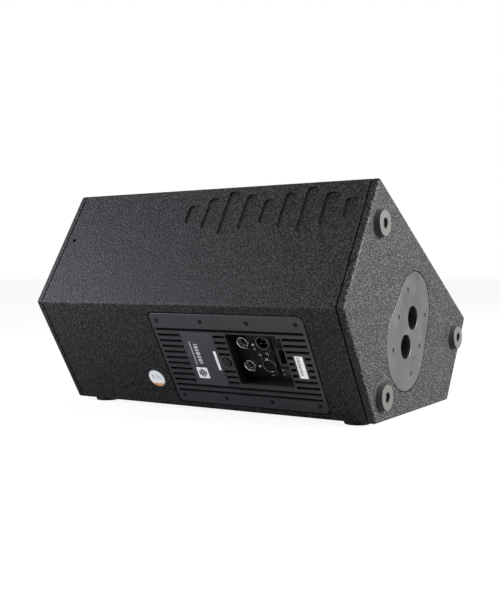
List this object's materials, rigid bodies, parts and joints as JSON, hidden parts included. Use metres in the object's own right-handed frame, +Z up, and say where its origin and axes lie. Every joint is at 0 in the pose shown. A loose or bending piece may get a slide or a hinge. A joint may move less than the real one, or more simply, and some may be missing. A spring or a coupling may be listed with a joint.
{
  "type": "stage monitor wedge",
  "caption": "Wedge-shaped active stage monitor with a pole mount in one end, a recessed handle in the other and a finned amplifier back with a connector bay.",
  "frame": {"origin": "centre of the box around the part, on the floor under its feet", "axes": "+X along the cabinet from the handle end to the pole-mount end, +Y from the amplifier back towards the listener, +Z up, with the cabinet standing on its floor face"},
  "size_m": [0.569, 0.4494, 0.3477],
  "materials": {
    "cabinet": "hard textured black paint on birch plywood",
    "inner_wood": "bare birch plywood",
    "baffle": "matt black paint",
    "pole_metal": "satin black powder coat",
    "foot_rubber": "matt",
    "fastener": "black oxide",
    "insert": "nickel plated",
    "handle_plastic": "fine grained black moulding",
    "grip_rubber": "matt",
    "grille_steel": "textured black powder coat",
    "foam": "open black foam",
    "wadding": "loose polyester wadding",
    "basket": "black enamel on a cast frame",
    "gasket": "matt",
    "magnet": "dark ferrite",
    "soft_iron": "zinc plated",
    "cone": "coated paper pulp",
    "spider": "woven and resin dipped",
    "coil": "enamelled copper wire",
    "diaphragm": "thin metal dome",
    "horn": "matt black moulding",
    "amp_casting": "black powder coat on a die casting",
    "tray": "black powder coat",
    "name_plate": "printed film",
    "label": "white film",
    "socket_ring": "polished",
    "connector_body": "satin black",
    "latch": "satin",
    "button": "polished",
    "inlet": "matt black thermoplastic",
    "lamp": "tinted lens",
    "knob": "fluted moulding",
    "pot_metal": "plain",
    "board": "solder mask",
    "transformer": "taped copper winding"
  },
  "bodies": {
    "cabinet": {"amp_board": "board", "amp_gasket": "gasket", "amp_panel": "amp_casting", "amp_side_panel": "cabinet", "bass_port_left": "horn", "bass_port_right": "horn", "board_posts": "pot_metal", "connector_tray": "tray", "damping_wadding": "wadding", "deep_side_panel": "cabinet", "driver_magnet_body": "soft_iron", "driver_rear_cap": "horn", "driver_screws": "fastener", "floor_feet": "foot_rubber", "floor_panel": "cabinet", "foot_screws": "fastener", "front_baffle": "baffle", "gain_control": "pot_metal", "grille": "grille_steel", "grille_blocks": "inner_wood", "grille_foam": "foam", "handle_cup": "handle_plastic", "handle_end_panel": "cabinet", "handle_grip": "grip_rubber", "horn_flare": "horn", "input_socket_lower": "socket_ring", "input_socket_upper": "socket_ring", "name_plate": "name_plate", "panel_screws": "fastener", "pole_end_feet": "foot_rubber", "pole_end_panel": "cabinet", "pole_plate": "pole_metal", "pole_socket_front": "pole_metal", "pole_socket_rear": "pole_metal", "power_inlet": "inlet", "power_switch_body": "inlet", "power_transformer": "transformer", "rigging_inserts": "insert", "serial_label": "label", "shallow_side_panel": "cabinet", "status_lamps": "lamp", "window_brace": "inner_wood", "woofer_basket": "basket", "woofer_gasket": "gasket", "woofer_magnet": "magnet", "woofer_pole_piece": "soft_iron", "woofer_spider": "spider", "woofer_surround": "gasket", "woofer_top_plate": "soft_iron", "xlr_input_socket": "connector_body", "xlr_thru_socket": "connector_body"},
    "woofer_moving": {"woofer_cone": "cone", "woofer_dust_cap": "cone", "woofer_voice_coil": "coil"},
    "hf_moving": {"driver_diaphragm": "diaphragm"},
    "gain_knob": {"gain_knob": "knob"},
    "pad_button_upper": {"pad_button_upper": "button"},
    "pad_button_lower": {"pad_button_lower": "button"},
    "xlr_latch": {"xlr_latch": "latch"},
    "power_rocker": {"power_rocker": "inlet"}
  },
  "joints": [
    {"name": "woofer_travel", "type": "slide", "parent": "cabinet", "child": "woofer_moving", "axis": [0, 0.5299, 0.848], "range_m": [-0.006, 0.006], "stiffness_N_per_m": 5000, "deforming": ["woofer_surround", "woofer_spider"]},
    {"name": "hf_travel", "type": "slide", "parent": "cabinet", "child": "hf_moving", "axis": [0, 0.5299, 0.848], "range_m": [-0.0004, 0.0004], "stiffness_N_per_m": 3000},
    {"name": "gain_turn", "type": "hinge", "parent": "cabinet", "child": "gain_knob", "pos_m": [0.05775, -0.17597, 0.08563], "axis": [0, -0.866, -0.5], "range_deg": [-150, 150]},
    {"name": "pad_upper_press", "type": "slide", "parent": "cabinet", "child": "pad_button_upper", "axis": [0, 0.866, 0.5], "range_m": [0, 0.0015], "stiffness_N_per_m": 300},
    {"name": "pad_lower_press", "type": "slide", "parent": "cabinet", "child": "pad_button_lower", "axis": [0, 0.866, 0.5], "range_m": [0, 0.0015], "stiffness_N_per_m": 300},
    {"name": "latch_press", "type": "slide", "parent": "cabinet", "child": "xlr_latch", "axis": [0, 0.866, 0.5], "range_m": [0, 0.0016], "stiffness_N_per_m": 500},
    {"name": "rocker_swing", "type": "hinge", "parent": "cabinet", "child": "power_rocker", "pos_m": [0.14875, -0.14385, 0.07299], "axis": [0, -0.5, 0.866], "range_deg": [0, 16]}
  ]
}
